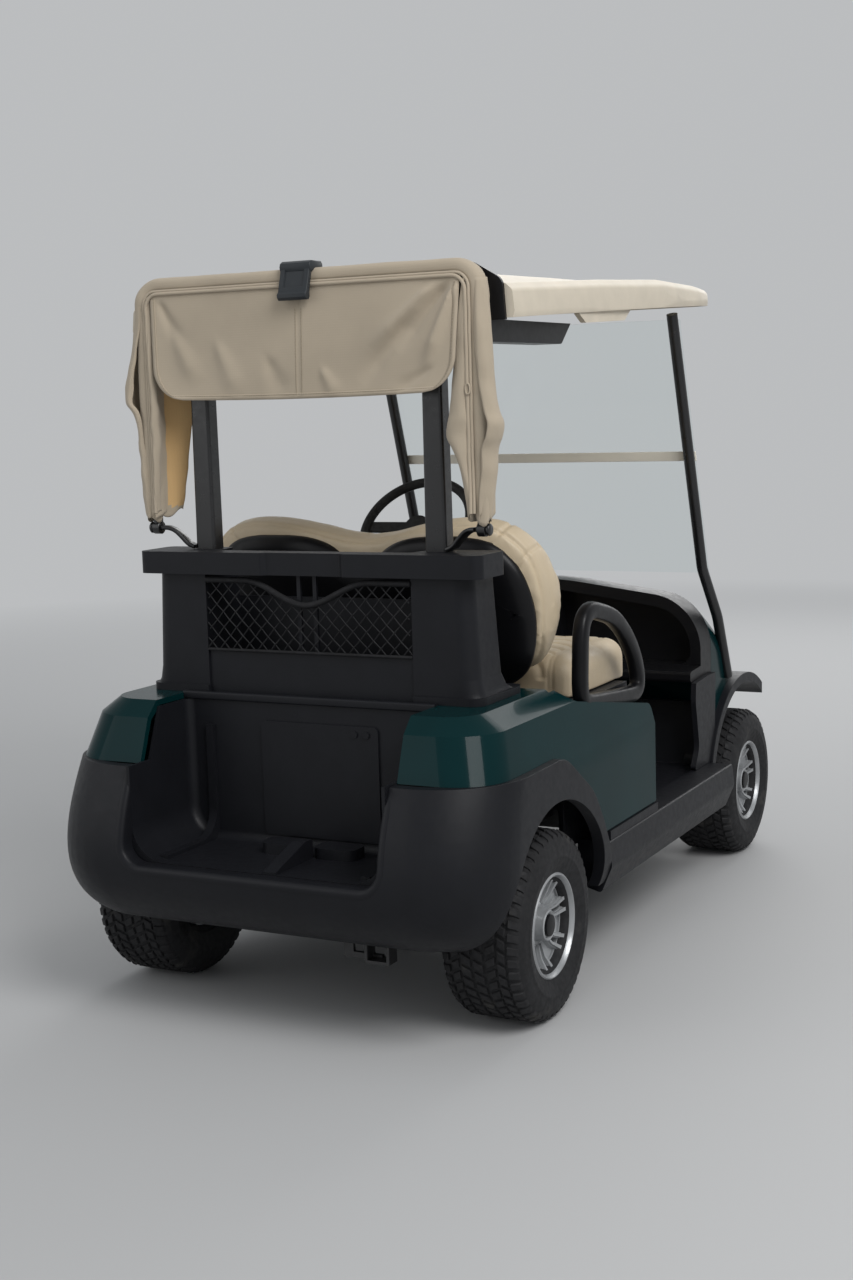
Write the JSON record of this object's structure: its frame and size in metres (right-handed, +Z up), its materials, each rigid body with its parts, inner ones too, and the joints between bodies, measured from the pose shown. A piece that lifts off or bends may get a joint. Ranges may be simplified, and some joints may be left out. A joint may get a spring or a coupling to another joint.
{
  "type": "golf cart",
  "caption": "Two-seat golf cart with a moulded canopy, folding windshield panes, bag well and rack, a folding bag cover, coupled steering and free-running wheels.",
  "frame": {"origin": "on the ground, at the middle of the length and of the width", "axes": "+Z up, the nose points along -Y, +X is the cart's left side"},
  "size_m": [1.1994, 2.3567, 1.775],
  "materials": {
    "body_green": "deep green, glossy, moulded body panels",
    "charcoal_plastic": "dark grey moulded plastic, fine grain",
    "cover_fabric": "khaki woven canvas with sewn hems",
    "black_plastic": "black moulded plastic",
    "canopy_beige": "beige moulded top, satin",
    "seat_vinyl": "beige vinyl, grained and piped",
    "black_metal": "black powder coat",
    "frame_metal": "black chassis paint",
    "axle_iron": "dark cast and forged steel",
    "tyre": "tread rubber",
    "wheel_silver": "silver painted wheel cover",
    "clear_pane": "clear folding windshield",
    "net_black": "elastic black net",
    "grip_rubber": "black grip rubber"
  },
  "bodies": {
    "chassis": {"chassis_frame": "frame_metal", "floor_pan": "charcoal_plastic", "sills": "charcoal_plastic", "kick_panels": "charcoal_plastic", "battery_pack": "black_plastic", "seat_pod": "charcoal_plastic", "rear_body": "body_green", "rear_bumper": "charcoal_plastic", "bag_well": "charcoal_plastic", "access_panel": "charcoal_plastic", "bag_rack": "charcoal_plastic", "basket_net": "net_black", "seat_bottom": "seat_vinyl", "seat_back": "seat_vinyl", "seat_shell": "black_plastic", "hip_restraints": "black_plastic", "canopy": "canopy_beige", "canopy_holder": "black_plastic", "rear_struts": "black_metal", "front_struts": "black_metal", "windshield": "clear_pane", "windshield_strip": "canopy_beige", "front_cowl": "body_green", "front_bumper": "charcoal_plastic", "dash": "black_plastic", "steering_column": "black_metal", "pedals": "black_metal", "front_axle": "axle_iron", "rear_axle": "axle_iron", "cover_brackets": "black_metal"},
    "knuckle_left": {"knuckle_left": "axle_iron"},
    "knuckle_right": {"knuckle_right": "axle_iron"},
    "tie_rods": {"tie_rods": "axle_iron"},
    "steering_wheel": {"steering_wheel": "grip_rubber"},
    "cover": {"cover_bow": "black_metal", "cover_flap": "cover_fabric", "cover_curtains": "cover_fabric"},
    "wheel_front_left": {"tyre_front_left": "tyre", "rim_front_left": "wheel_silver"},
    "wheel_front_right": {"tyre_front_right": "tyre", "rim_front_right": "wheel_silver"},
    "wheel_rear_left": {"tyre_rear_left": "tyre", "rim_rear_left": "wheel_silver"},
    "wheel_rear_right": {"tyre_rear_right": "tyre", "rim_rear_right": "wheel_silver"}
  },
  "joints": [
    {"name": "steer_left", "type": "hinge", "parent": "chassis", "child": "knuckle_left", "pos_m": [0.32, -0.904, 0.225], "axis": [0, 0, 1], "range_deg": [-26, 26]},
    {"name": "steer_right", "type": "hinge", "parent": "chassis", "child": "knuckle_right", "pos_m": [-0.32, -0.904, 0.225], "axis": [0, 0, 1], "range_deg": [-26, 26]},
    {"name": "steering_turn", "type": "hinge", "parent": "chassis", "child": "steering_wheel", "pos_m": [0.262, -0.215, 1.075], "axis": [0, 0.7431, 0.6691], "range_deg": [-364, 364]},
    {"name": "tie_rod_slide", "type": "slide", "parent": "chassis", "child": "tie_rods", "axis": [1, 0, 0], "range_m": [-0.0485, 0.0485]},
    {"name": "spin_front_left", "type": "hinge", "parent": "knuckle_left", "child": "wheel_front_left", "pos_m": [0.438, -0.904, 0.225], "axis": [1, 0, 0], "continuous": true},
    {"name": "spin_front_right", "type": "hinge", "parent": "knuckle_right", "child": "wheel_front_right", "pos_m": [-0.438, -0.904, 0.225], "axis": [1, 0, 0], "continuous": true},
    {"name": "spin_rear_left", "type": "hinge", "parent": "chassis", "child": "wheel_rear_left", "pos_m": [0.482, 0.76, 0.225], "axis": [1, 0, 0], "continuous": true},
    {"name": "spin_rear_right", "type": "hinge", "parent": "chassis", "child": "wheel_rear_right", "pos_m": [-0.482, 0.76, 0.225], "axis": [1, 0, 0], "continuous": true},
    {"name": "cover_fold", "type": "hinge", "parent": "chassis", "child": "cover", "pos_m": [0, 0.818, 1.152], "axis": [-1, 0, 0], "range_deg": [0, 60]}
  ],
  "couplings": [
    {"joint": "steer_right", "follows": "steer_left", "ratio": 1},
    {"joint": "steering_turn", "follows": "steer_left", "ratio": 14},
    {"joint": "tie_rod_slide", "follows": "steer_left", "m_per_rad": -0.1062}
  ]
}
